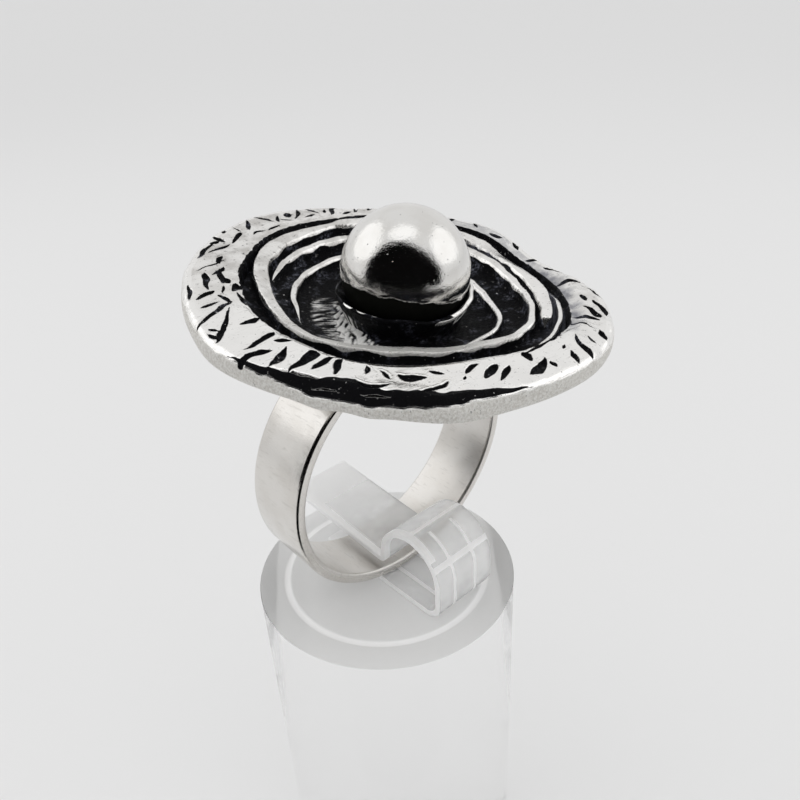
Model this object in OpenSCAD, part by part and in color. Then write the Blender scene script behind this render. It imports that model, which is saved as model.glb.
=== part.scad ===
// Ring with a dished, spiral-ribbed head and a round ball, held upright in a bent clip on a clear post.
// Millimetres, +Z up, finger hole along Y, front of the ring towards -Y.
// The origin is the centre of the post's underside.

/* [Shank] */
// Inner diameter of the finger hole
finger_d = 18; // [15:0.5:21]
// Thickness of the shank's strip
shank_t = 0.8; // [0.6:0.1:1.2]
// Width of the shank's strip
shank_w = 4.8; // [3:0.1:6]
// Bevel along the shank's edges
shank_bevel = 0.12; // [0.05:0.01:0.2]

/* [Head] */
// Mean diameter of the head
head_d = 28; // [24:0.5:32]
// Depth that the shank's top runs into the head's underside
solder_sink = 0.2; // [0.1:0.05:0.4]
// Thickness of metal at the middle of the dish
floor_t = 1.3; // [1.1:0.1:1.6]
// Rise of the dish from its floor to the outer groove
dish_rise = 1.1; // [0.6:0.1:1.8]
// Step from the outer groove up to the top of the brim
brim_step = 0.9; // [0.5:0.1:1.3]
// Thickness of the rounded rim
rim_t = 1.6; // [1.2:0.1:2]
// Height of the long spiral rib above the dish
spiral_h = 0.75; // [0.4:0.05:1]
// Height of the inner rib above the dish
inner_rib_h = 0.5; // [0.3:0.05:0.8]
// Widest part of the ribs
rib_w = 1.2; // [0.8:0.1:1.4]
// Slope of the ribs' sides, measured across
rib_flank = 0.25; // [0.15:0.05:0.35]
// Tilt of the head's plane on the shank
head_tilt = 2.5; // [0:0.5:5]
// Direction in which the tilted head rises, counted from +X
head_tilt_dir = 50; // [0:5:355]

/* [Ball and cup] */
// Diameter of the ball
ball_d = 8.3; // [7:0.1:9]
// Clearance between the ball and its seat
ball_gap = 0.05; // [0.03:0.01:0.1]
// Metal between the head's underside and the lowest point of the seat
seat_floor_t = 0.23; // [0.15:0.01:0.4]
// Height of the cup above the head's underside
cup_h = 2.6; // [2:0.1:3.2]
// Amount by which the cup's top is wider than the ball, all round
cup_proud = 0.2; // [0.1:0.05:0.4]
// Amount by which the cup draws in towards the dish, all round
cup_draw = 0.6; // [0.2:0.05:0.8]
// Height of the turned-up lip on the cup
lip_h = 0.25; // [0.1:0.05:0.4]
// Thickness of that lip
lip_t = 0.2; // [0.15:0.05:0.3]
// Place of the ball off the shank's middle, sideways and lengthways
ball_off = [-0.2, -0.6];

/* [Clip] */
// Thickness of the clip's strip
clip_t = 0.5; // [0.4:0.05:0.6]
// Width of the clip's strip
clip_w = 5.4; // [3:0.1:6.5]
// Outer radius of the clip's rolled front
clip_roll_r = 3.1; // [2.4:0.1:3.6]
// Radius of the bend from the clip's foot up into the roll
clip_bend_r = 1.2; // [0.8:0.1:2]
// Radius of the bend from the roll into the tongue
tongue_bend_r = 0.5; // [0.4:0.05:0.8]
// Distance from the finger hole's middle forward to the middle of the roll
clip_roll_y = 4.4; // [4:0.1:5.2]
// Reach of the tongue behind the middle of the finger hole
tongue_back = 9.6; // [5:0.2:11]
// Reach of the foot behind the middle of the finger hole
foot_back = 5.4; // [3:0.2:7]
// Clearance between the clip and what it touches
clip_gap = 0.05; // [0.02:0.01:0.1]
// Place of the clip's middle, sideways from the finger hole's middle
clip_off = 0.4; // [-1:0.1:1]

/* [Post] */
// Diameter of the post
post_d = 19.8; // [16:0.2:26]
// Height of the post
post_h = 40; // [20:1:80]
// Width of the shallow bevel round the post's top
post_bevel_w = 2.2; // [1:0.1:3]
// Drop of that bevel at the post's edge
post_bevel_h = 0.15; // [0.05:0.05:0.5]

/* [Stance] */
// Tip of the ring towards its front, about X
ring_tip = 4.5; // [0:0.5:8]
// Lean of the ring to the side, about its finger hole
ring_lean = 6; // [0:0.5:10]
// Place of the finger hole's middle, sideways and lengthways from the post's middle
ring_off = [1, 0.3];

/* [Hidden] */

finger_r = finger_d / 2;
shank_r = finger_r + shank_t;
head_r = head_d / 2;
ball_r = ball_d / 2;
seat_r = ball_r + ball_gap;
cup_r = ball_r + cup_proud;

// Heights in the ring's own frame, above the middle of the finger hole
underside_z = shank_r - solder_sink;
floor_z = underside_z + floor_t;
groove_z = floor_z + dish_rise;
brim_z = groove_z + brim_step;
ball_z = underside_z + seat_floor_t + seat_r;
cup_top_z = underside_z + cup_h;

// Depth of the tipped shank's lowest corner below the middle of the finger hole
shank_low = shank_r * cos(ring_tip) + shank_w / 2 * sin(ring_tip);
clip_foot_z = -shank_low - clip_gap - clip_t / 2;
ring_z = post_h + clip_gap + clip_t / 2 - clip_foot_z;
roll_mid_r = clip_roll_r - clip_t / 2;

// The tongue bears on the finger hole's curve with the clip's far edge
tongue_edge_x = clip_w / 2 + abs(clip_off);
tongue_low = sqrt(pow(finger_r, 2) - pow(tongue_edge_x, 2)) * cos(ring_tip) - clip_gap;
tongue_z = clip_t / 2 - tongue_low;

// The rim, every 15 degrees from +X: outline and inner edge of the brim as shares of the head's radius,
// and lift of the rim as a share of its thickness
RIM_STEP = 15;
OUTLINE = 0;
BRIM_IN = 1;
LIFT = 2;
rim_rows = [
    [0.98, 0.90, -0.45],
    [1.04, 0.93, -0.02],
    [1.03, 0.92, 0.10],
    [1.02, 0.90, 0.18],
    [1.01, 0.88, 0.25],
    [1.02, 0.82, 0.32],
    [1.03, 0.80, 0.36],
    [1.03, 0.79, 0.28],
    [1.01, 0.76, 0.15],
    [0.99, 0.74, 0.08],
    [0.97, 0.71, 0.00],
    [0.97, 0.71, 0.00],
    [0.99, 0.71, 0.00],
    [0.97, 0.71, 0.00],
    [0.95, 0.73, 0.00],
    [0.96, 0.72, 0.00],
    [0.98, 0.70, 0.00],
    [0.95, 0.69, 0.00],
    [0.95, 0.72, 0.00],
    [0.97, 0.75, 0.00],
    [0.98, 0.78, -0.05],
    [0.98, 0.79, -0.12],
    [0.99, 0.81, -0.22],
    [0.98, 0.86, -0.45],
];

// The long spiral rib, from its blunt end round to its tapered end, every 25 degrees of winding:
// middle of the rib as a share of the head's radius, and its width as a share of rib_w
SPIRAL_START = -60;
SPIRAL_STEP = 25;
SPIRAL_END = 500;
spiral_rows = [
    [0.675, 0.60],
    [0.680, 0.80],
    [0.715, 0.90],
    [0.810, 1.00],
    [0.830, 1.00],
    [0.825, 1.00],
    [0.770, 1.00],
    [0.710, 0.95],
    [0.615, 0.90],
    [0.580, 0.75],
    [0.590, 0.60],
    [0.490, 1.10],
    [0.465, 1.05],
    [0.515, 0.85],
    [0.600, 0.55],
    [0.610, 0.40],
    [0.615, 0.45],
    [0.660, 0.55],
    [0.700, 0.50],
    [0.695, 0.50],
    [0.665, 0.50],
    [0.630, 0.45],
    [0.605, 0.35],
    [0.575, 0.25],
];

// The inner rib, every 30 degrees of winding, in the same columns
INNER_START = 245;
INNER_STEP = 30;
INNER_END = 530;
inner_rows = [
    [0.415, 0.25],
    [0.438, 0.30],
    [0.472, 0.35],
    [0.457, 0.40],
    [0.495, 0.40],
    [0.545, 0.40],
    [0.575, 0.40],
    [0.535, 0.40],
    [0.500, 0.40],
    [0.472, 0.40],
    [0.530, 0.35],
];

// Lengths of the ribs' blunt and tapered ends, in degrees of winding
BLUNT = 4;
TAPER = 35;

// The dish starts to rise at this share of the head's radius, and reaches the outer groove at the second.
// From there the groove follows the rim's lift, all of it past the third.
DISH_FROM = 0.40;
DISH_TO = 0.70;
GROOVE_TO = 0.82;

// The mesh: stations round the head, rings over the dish and the brim
STATIONS = 132;
DISH_RINGS = 27;
BRIM_RINGS = 6;
// The innermost ring lies under the cup, at this share of its foot
CORE_SHARE = 0.7;
core_r = (cup_r - cup_draw) * CORE_SHARE;
// Depth that the cup's foot runs down into the dish's floor
CUP_SINK = 0.3;

// Facets of round pieces where they are drawn as meshes
ROUND = 96;
ROUND_LARGE = 180;

// The rim's section, from the brim's top round to the underside:
// way in from the outline and drop below the brim's top, as shares of the rim's thickness
rim_section = [
    [0.42, 0.00],
    [0.18, 0.05],
    [0.05, 0.20],
    [0.00, 0.46],
    [0.02, 0.72],
    [0.12, 0.90],
    [0.35, 1.00],
];
// Rings of the underside, as shares of the way from its flat middle out to the rim
under_shares = [0.85, 0.65, 0.45, 0.25, 0.0];
// The flat middle of the underside, as a share of the head's radius
UNDER_FLAT = 0.36;

function clamp01(t) = min(1, max(0, t));
function ease(t) = let(c = clamp01(t)) c * c * (3 - 2 * c);
function mix(a, b, t) = a + (b - a) * t;
function cubic(a, b, c, d, t) =
    b + 0.5 * t * (c - a + t * (2 * a - 5 * b + 4 * c - d + t * (3 * (b - c) + d - a)));

// Column of a closed table at an angle
function round_at(rows, step, angle, col) =
    let(
        n = len(rows),
        s = (angle - 360 * floor(angle / 360)) / step,
        i = floor(s)
    )
    cubic(rows[(i + n - 1) % n][col], rows[i % n][col], rows[(i + 1) % n][col], rows[(i + 2) % n][col], s - i);

// Column of an open table at a winding angle
function along(rows, start, step, winding, col) =
    let(
        n = len(rows),
        s = min(n - 1, max(0, (winding - start) / step)),
        i = min(n - 2, floor(s))
    )
    cubic(rows[max(0, i - 1)][col], rows[i][col], rows[i + 1][col], rows[min(n - 1, i + 2)][col], s - i);

// Height of a rib, from 0 to 1, at a radius on one of its windings
function rib_at(rows, start, step, end, lead, radius, winding) =
    winding < start || winding > end ? 0 :
    let(
        half = along(rows, start, step, winding, 1) * rib_w / 2,
        off = abs(radius - along(rows, start, step, winding, 0) * head_r),
        fade = ease((winding - start) / lead) * ease((end - winding) / TAPER)
    )
    fade * ease((half + rib_flank / 2 - off) / rib_flank);

function spiral_at(radius, winding) =
    rib_at(spiral_rows, SPIRAL_START, SPIRAL_STEP, SPIRAL_END, BLUNT, radius, winding);
function inner_at(radius, winding) =
    rib_at(inner_rows, INNER_START, INNER_STEP, INNER_END, TAPER, radius, winding);

// Height of the dish, with its ribs, at an angle from 0 to 360 and a radius
function dish_z(angle, radius) =
    floor_z
    + dish_rise * clamp01((radius / head_r - DISH_FROM) / (DISH_TO - DISH_FROM))
    + lift_z(angle) * clamp01((radius / head_r - DISH_TO) / (GROOVE_TO - DISH_TO))
    + spiral_h * max(spiral_at(radius, angle - 360), spiral_at(radius, angle), spiral_at(radius, angle + 360))
    + inner_rib_h * max(inner_at(radius, angle), inner_at(radius, angle + 360));

function outline_r(angle) = head_r * round_at(rim_rows, RIM_STEP, angle, OUTLINE);
function brim_r(angle) = head_r * round_at(rim_rows, RIM_STEP, angle, BRIM_IN);
function lift_z(angle) = rim_t * round_at(rim_rows, RIM_STEP, angle, LIFT);

// All rings of the head from the dish's middle over the rim to the underside's middle,
// each a list of points round the head
function head_rings() =
    let(
        angles = [for (s = [0:STATIONS - 1]) 360 * s / STATIONS],
        rim_start = rim_section[0][0] * rim_t
    )
    concat(
        [for (j = [0:DISH_RINGS]) [for (a = angles)
            let(r = mix(core_r, brim_r(a) - rib_flank, j / DISH_RINGS))
            [r * cos(a), r * sin(a), dish_z(a, r)]]],
        [for (j = [0:BRIM_RINGS]) [for (a = angles)
            let(r = mix(brim_r(a), outline_r(a) - rim_start, j / BRIM_RINGS))
            [r * cos(a), r * sin(a), brim_z + lift_z(a)]]],
        [for (p = [for (j = [1:len(rim_section) - 1]) rim_section[j]]) [for (a = angles)
            let(r = outline_r(a) - p[0] * rim_t)
            [r * cos(a), r * sin(a), brim_z + lift_z(a) - p[1] * rim_t]]],
        [for (u = under_shares) [for (a = angles)
            let(
                edge_r = outline_r(a) - rim_section[len(rim_section) - 1][0] * rim_t,
                r = mix(head_r * UNDER_FLAT, edge_r, u)
            )
            [r * cos(a), r * sin(a), mix(underside_z, brim_z + lift_z(a) - rim_t, u * u)]]]
    );

// A closed solid from rings that run from one middle to the other
module skin(rings) {
    n = len(rings[0]);
    last = len(rings) - 1;
    points = [for (ring = rings) for (p = ring) p];
    sides = [for (j = [0:last - 1]) for (s = [0:n - 1]) let(
            a = j * n + s,
            b = j * n + (s + 1) % n
        )
        each [[a, b, b + n], [a, b + n, a + n]]];
    top = [for (s = [n - 1:-1:0]) s];
    bottom = [for (s = [0:n - 1]) last * n + s];
    polyhedron(points, concat(sides, [top], [bottom]), convexity = 8);
}

module head() {
    rotate(a = head_tilt, v = [sin(head_tilt_dir), -cos(head_tilt_dir), 0])
        skin(head_rings());
}

module shank() {
    half = shank_w / 2;
    b = shank_bevel;
    rotate([90, 0, 0])
        rotate_extrude($fn = ROUND_LARGE)
            polygon([
                [finger_r + b, -half], [shank_r - b, -half], [shank_r, b - half],
                [shank_r, half - b], [shank_r - b, half], [finger_r + b, half],
                [finger_r, half - b], [finger_r, b - half],
            ]);
}

module cup() {
    translate([ball_off[0], ball_off[1], 0]) {
        translate([0, 0, floor_z - CUP_SINK])
            cylinder(h = cup_top_z - floor_z + CUP_SINK, r1 = cup_r - cup_draw, r2 = cup_r, $fn = ROUND);
        translate([0, 0, cup_top_z - lip_t])
            rotate_extrude($fn = ROUND)
                polygon([
                    [cup_r - lip_t, 0], [cup_r, 0],
                    [cup_r + lip_t / 2, lip_h + lip_t], [cup_r - lip_t / 2, lip_h + lip_t],
                ]);
    }
}

module seat() {
    translate([ball_off[0], ball_off[1], ball_z]) sphere(r = seat_r, $fn = ROUND);
}

// Puts what is drawn about the finger hole's middle where the ring stands
module stand_up() {
    translate([ring_off[0], ring_off[1], ring_z])
        rotate([ring_tip, 0, 0])
            rotate([0, ring_lean, 0])
                children();
}

module ring_body() {
    color("silver") stand_up() {
        difference() {
            union() {
                head();
                shank();
                cup();
            }
            seat();
        }
    }
}

module ball() {
    color("gainsboro") stand_up()
        translate([ball_off[0], ball_off[1], ball_z])
            sphere(r = ball_r, $fn = ROUND);
}

// The strip's middle line, forward and up from the finger hole's middle: foot, roll and tongue
ROLL_STEPS = 16;
BEND_STEPS = 5;
roll_z = clip_foot_z + roll_mid_r;

// The last bend touches the roll's back and the tongue, which runs with the tipped finger hole
function tongue_at(y) = tongue_z + y * tan(ring_tip);
function bend_z(y) = tongue_at(y) + tongue_bend_r / cos(ring_tip);
bend_reach = roll_mid_r + tongue_bend_r;
bend_drop = roll_z - bend_z(roll_mid_r - clip_roll_y);
bend_y = sqrt(pow(bend_reach, 2) - pow(bend_drop, 2)) - clip_roll_y;
roll_end = -asin(bend_drop / bend_reach);

// Points of an arc past its first, at which the line before it ends
function arc(centre, r, from, to, steps) =
    [for (i = [1:steps]) let(a = from + (to - from) * i / steps) centre + r * [cos(a), sin(a)]];
front_bend_y = clip_bend_r - clip_roll_y - roll_mid_r;
clip_line = concat(
    [[foot_back, clip_foot_z], [front_bend_y, clip_foot_z]],
    arc([front_bend_y, clip_foot_z + clip_bend_r], clip_bend_r, 270, 180, BEND_STEPS),
    arc([-clip_roll_y, roll_z], roll_mid_r, 180, roll_end, ROLL_STEPS),
    arc([bend_y, bend_z(bend_y)], tongue_bend_r, roll_end + 180, 270 + ring_tip, BEND_STEPS),
    [[tongue_back, tongue_at(tongue_back)]]
);

function unit(v) = v / norm(v);
function side_of(line, i) =
    let(
        n = len(line) - 1,
        before = unit(line[max(1, i)] - line[max(1, i) - 1]),
        after = unit(line[min(n, i + 1)] - line[min(n, i + 1) - 1]),
        way = unit(before + after)
    )
    [-way[1], way[0]] / (way * after);
function strip_outline(line, t) = concat(
    [for (i = [0:len(line) - 1]) line[i] + side_of(line, i) * t / 2],
    [for (i = [len(line) - 1:-1:0]) line[i] - side_of(line, i) * t / 2]
);

module clip() {
    color("whitesmoke", 0.5)
        translate([ring_off[0] + clip_off - clip_w / 2, ring_off[1], ring_z])
            rotate([90, 0, 90])
                linear_extrude(height = clip_w)
                    polygon(strip_outline(clip_line, clip_t));
}

module post() {
    r = post_d / 2;
    color("aliceblue", 0.5)
        rotate_extrude($fn = ROUND_LARGE)
            polygon([
                [0, 0], [r, 0], [r, post_h - post_bevel_h],
                [r - post_bevel_w, post_h], [0, post_h],
            ]);
}

ring_body();
ball();
clip();
post();
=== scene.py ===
import math

import bpy
import numpy as np
from mathutils import Matrix, Vector


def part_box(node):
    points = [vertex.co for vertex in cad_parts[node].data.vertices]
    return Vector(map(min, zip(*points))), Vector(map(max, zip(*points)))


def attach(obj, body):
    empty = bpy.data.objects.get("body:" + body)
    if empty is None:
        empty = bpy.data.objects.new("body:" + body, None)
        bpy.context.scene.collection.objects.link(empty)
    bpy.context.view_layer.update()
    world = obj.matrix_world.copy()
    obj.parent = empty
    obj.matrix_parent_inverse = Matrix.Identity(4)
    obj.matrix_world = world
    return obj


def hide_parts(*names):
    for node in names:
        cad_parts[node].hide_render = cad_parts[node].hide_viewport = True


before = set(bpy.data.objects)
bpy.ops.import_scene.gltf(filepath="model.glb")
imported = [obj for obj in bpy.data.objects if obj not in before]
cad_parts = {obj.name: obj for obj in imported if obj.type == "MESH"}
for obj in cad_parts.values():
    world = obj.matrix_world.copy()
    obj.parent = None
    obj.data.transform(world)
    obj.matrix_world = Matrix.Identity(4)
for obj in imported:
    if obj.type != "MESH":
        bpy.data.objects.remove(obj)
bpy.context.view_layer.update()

MM = 0.001
ROUND_STEPS = 256

# Sizes of the metal parts, in millimetres, as the solids have them
FINGER_R = 9.0
SHANK_T = 0.8
SHANK_W = 4.8
HEAD_R = 14.0
SOLDER_SINK = 0.2
FLOOR_T = 1.3
DISH_RISE = 1.1
BRIM_STEP = 0.9
RIM_T = 1.6
SPIRAL_H = 0.75
INNER_RIB_H = 0.5
RIB_W = 1.2
RIB_FLANK = 0.25
BALL_R = 4.15
BALL_GAP = 0.05
SEAT_FLOOR_T = 0.23
CUP_H = 2.6
CUP_PROUD = 0.2
CUP_DRAW = 0.6
LIP_H = 0.25
BALL_OFF = (-0.2, -0.6)

# Sizes of the clip and the post, in millimetres, as the solids have them
CLIP_T = 0.5
CLIP_W = 5.4
CLIP_ROLL_R = 3.1
CLIP_BEND_R = 1.2
TONGUE_BEND_R = 0.5
CLIP_ROLL_Y = 4.4
TONGUE_BACK = 9.6
FOOT_BACK = 5.4
CLIP_GAP = 0.05
CLIP_OFF = 0.4
POST_BEVEL_W = 2.2
POST_BEVEL_H = 0.15

# Sizes that only the looks have, in millimetres. The clip's white lines, painted highlights, are counted
# from its middle, and along it from the end of its foot.
RIB_EDGE = 0.20
SHANK_ROUND = 0.24
CLIP_ROUND = 0.09
POST_ROUND = 0.12
CUT_DEPTH = 0.16
BURR_H = 0.03
CUP_SUNK = 0.25
LIP_CLIMB = 0.9
LIP_BRIGHT_H = 0.17
WIRE_DROP, WIRE_HALF = 0.28, 0.20
LOOP_DROP, LOOP_HALF = 0.86, 0.11
BALL_EDGE_Z, BALL_EDGE_CLIMB = -0.90, 0.60
MARK_REACH = 0.5
POST_LINE_R = 7.75
POST_LINE_W = 0.64
POST_LINE_H = 0.06
CLIP_LINES_ALONG = (-1.1, 1.0)
CLIP_LINES_FROM, CLIP_LINES_TO = 6, 19
CLIP_LINES_ACROSS = (7.5, 11.2, 14.0, 16.5, 19.5)
CLIP_LINE_ALONG_HALF, CLIP_LINE_ACROSS_HALF = 0.24, 0.32
# The clip's white edge is a painted highlight.
CLIP_WHITE_EDGE_W, CLIP_WHITE_EDGE_FROM = 0.65, 17

# How the ring leans in the clip, and how the head lies on the shank
RING_TIP = math.radians(4.5)
RING_LEAN = math.radians(6)
HEAD_TILT = math.radians(2.5)
HEAD_TILT_DIR = math.radians(50)

# Radii, and heights above the middle of the finger hole, in millimetres
SHANK_R = FINGER_R + SHANK_T
UNDERSIDE_Z = SHANK_R - SOLDER_SINK
FLOOR_Z = UNDERSIDE_Z + FLOOR_T
BRIM_Z = FLOOR_Z + DISH_RISE + BRIM_STEP
BALL_Z = UNDERSIDE_Z + SEAT_FLOOR_T + BALL_R + BALL_GAP
CUP_TOP_Z = UNDERSIDE_Z + CUP_H
CUP_R = BALL_R + CUP_PROUD

# The ring stands where its ball is
ball_low, ball_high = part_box("ball")
post_low, post_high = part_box("post")
LEAN = Matrix.Rotation(RING_TIP, 4, "X") @ Matrix.Rotation(RING_LEAN, 4, "Y")
BALL_MID = (ball_low + ball_high) / 2
RING_MID = BALL_MID - LEAN @ (Vector((*BALL_OFF, BALL_Z)) * MM)
STAND_UP = Matrix.Translation(RING_MID) @ LEAN
TILT_AXIS = Vector((math.sin(HEAD_TILT_DIR), -math.cos(HEAD_TILT_DIR), 0))
HEAD = STAND_UP @ Matrix.Rotation(HEAD_TILT, 4, TILT_AXIS)

# The rim, every 15 degrees and three to a line: outline and inner edge of the brim as shares of the
# head's radius, and lift of the rim as a share of its thickness
RIM_STEP = 15
OUTLINE, BRIM_IN, LIFT = 0, 1, 2
RIM_ROWS = [
    (0.98, 0.90, -0.45), (1.04, 0.93, -0.02), (1.03, 0.92, 0.10),
    (1.02, 0.90, 0.18), (1.01, 0.88, 0.25), (1.02, 0.82, 0.32),
    (1.03, 0.80, 0.36), (1.03, 0.79, 0.28), (1.01, 0.76, 0.15),
    (0.99, 0.74, 0.08), (0.97, 0.71, 0.00), (0.97, 0.71, 0.00),
    (0.99, 0.71, 0.00), (0.97, 0.71, 0.00), (0.95, 0.73, 0.00),
    (0.96, 0.72, 0.00), (0.98, 0.70, 0.00), (0.95, 0.69, 0.00),
    (0.95, 0.72, 0.00), (0.97, 0.75, 0.00), (0.98, 0.78, -0.05),
    (0.98, 0.79, -0.12), (0.99, 0.81, -0.22), (0.98, 0.86, -0.45),
]

# The ribs: middle as a share of the head's radius and width as a share of RIB_W, every "step" degrees
# of winding from "start" to "end", with a first end that is tapered over "lead" degrees
RIB_MIDDLE, RIB_WIDE = 0, 1
TAPER = 35
SPIRAL_RIB = dict(start=-60, step=25, end=500, lead=4, height=SPIRAL_H, rows=[
    (0.675, 0.6), (0.68, 0.8), (0.715, 0.9), (0.81, 1.0), (0.83, 1.0), (0.825, 1.0),
    (0.77, 1.0), (0.71, 0.95), (0.615, 0.9), (0.58, 0.75), (0.59, 0.6), (0.49, 1.1),
    (0.465, 1.05), (0.515, 0.85), (0.6, 0.55), (0.61, 0.4), (0.615, 0.45), (0.66, 0.55),
    (0.7, 0.5), (0.695, 0.5), (0.665, 0.5), (0.63, 0.45), (0.605, 0.35), (0.575, 0.25),
])
INNER_RIB = dict(start=245, step=30, end=530, lead=TAPER, height=INNER_RIB_H, rows=[
    (0.415, 0.25), (0.438, 0.3), (0.472, 0.35), (0.457, 0.4), (0.495, 0.4), (0.545, 0.4),
    (0.575, 0.4), (0.535, 0.4), (0.5, 0.4), (0.472, 0.4), (0.53, 0.35),
])
LIP_RIB = dict(start=274, step=15, end=345, lead=10, height=0.6, rows=[
    (0.722, 0.25), (0.727, 0.28), (0.735, 0.32), (0.745, 0.35), (0.765, 0.3), (0.8, 0.25),
])

# Where the dish rises and where its outer groove follows the rim, and how far the underside is flat,
# as shares of the head's radius, and the radius at which the dish ends under the cup
DISH_FROM, DISH_TO, GROOVE_TO = 0.4, 0.7, 0.82
UNDER_FLAT = 0.36
DISH_CORE_R = 2.6

# The rim's section from the brim's top round to the underside: way in and drop, as shares of its thickness.
# In front the shoulder is a facet that leans outwards: its start and end, and its fades, in degrees.
RIM_SECTION = [
    (0.42, 0.0), (0.18, 0.05), (0.05, 0.2), (0.0, 0.46), (0.02, 0.72), (0.12, 0.9), (0.35, 1.0),
]
FACET_SECTION = [
    (0.42, 0.0), (0.33, 0.08), (0.2, 0.24), (0.09, 0.42), (0.02, 0.6), (0.02, 0.82), (0.35, 1.0),
]
FACET = (190, 262, 12, 22)
UNDER_IN = RIM_SECTION[-1][0] * RIM_T

# Marks of the hammer on the brim: depth, distance apart and seed
HAMMER_MARKS = [(0.055, 3.4, 11), (0.018, 1.3, 13), (0.006, 0.6, 14)]

# The brim's inner edge is turned down: width and drop of the turn, at the left and at the right
TURN_W = (0.35, 1.0)
TURN_DROP = (0.08, 0.34)

# The black band on the shoulder, partly oxide and partly a painted dark reflection of the rim rolling
# away: angle, and where it starts and ends across the shoulder
BAND_ANGLE, BAND_FROM, BAND_TO = range(3)
OXIDE_AND_REFLECTION_BAND = [
    (184, 0.15, 0.15), (192, -0.2, 0.35), (205, -0.45, 0.9), (214, -1.2, 0.95), (223, -0.6, 0.85),
    (232, -0.8, 0.6), (239, -1.0, 0.25), (247, -0.8, 0.1), (256, -0.15, 0.15), (261, 0.15, 0.15),
]

# Painted highlights, bright lines in the black band: angle, half their reach in degrees, place across
# the shoulder, and sag
GLINTS = [(210.0, 3.8, 0.15, 0.2), (221.7, 3.8, -0.1, 0.2)]
GLINT_HALF = 0.11

# Dents in the shoulder: angle, radius, half length along the rim, half width and depth
DENTS = [(208.5, 13.0, 1.1, 0.4, 0.26), (220.5, 13.1, 0.9, 0.3, 0.16)]

# Stretches of the head where something shows: middle, half width and fade, in degrees
DISH_SANDED = (225, 72, 25)
DISH_WORN = (80, 110, 60)
DISH_SMOKED = (350, 70, 40)
BRIM_HAMMERED = (318, 55, 30)
BRIM_TURNED = (338, 52, 25)
BRIM_WORN_FAR = (92, 82, 50)
BRIM_WORN_RIGHT = (325, 45, 30)
BRIM_SMOKED = (328, 45, 25)
BRIM_SMOKED_FAR = (15, 35, 25)
LIP_HIGH = (335, 76, 60)
LIP_GONE = (240, 33, 12)
LIP_THIN = (135, 35, 10)
LIP_TORN = (180, 60, 20)
WIRE = (298, 52, 16)
WIRE_LOOP = (301, 28, 6)
WIRE_RUNGS = (277, 288, 326)
CUP_SCRAPED = (162, 24, 10)
BALL_EDGE_RAISED = (190, 110, 90)

# Streaks scraped beside the collar and below it: the stretch in degrees, and in millimetres the radii
# at which they start and end, and how they fade in and out
SCRAPED_BESIDE, SCRAPED_BESIDE_R = (146, 36, 12), (3.8, 6.2, 0.5, 0.9)
SCRAPED_BELOW, SCRAPED_BELOW_R = (188, 17, 8), (4.6, 7.0, 0.4, 0.7)

# The strip of floor that was scraped bare: its direction in degrees, and in millimetres how far across
# it lies, where it starts and ends, half its width at both ends, and a patch at its end
SCRAPE_WAY = 243
SCRAPE_ACROSS = -3.55
SCRAPE_FROM, SCRAPE_TO = -2.2, 4.6
SCRAPE_HALF = (0.45, 0.95)
PATCH_AHEAD, PATCH_ACROSS = 4.0, -2.75

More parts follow.
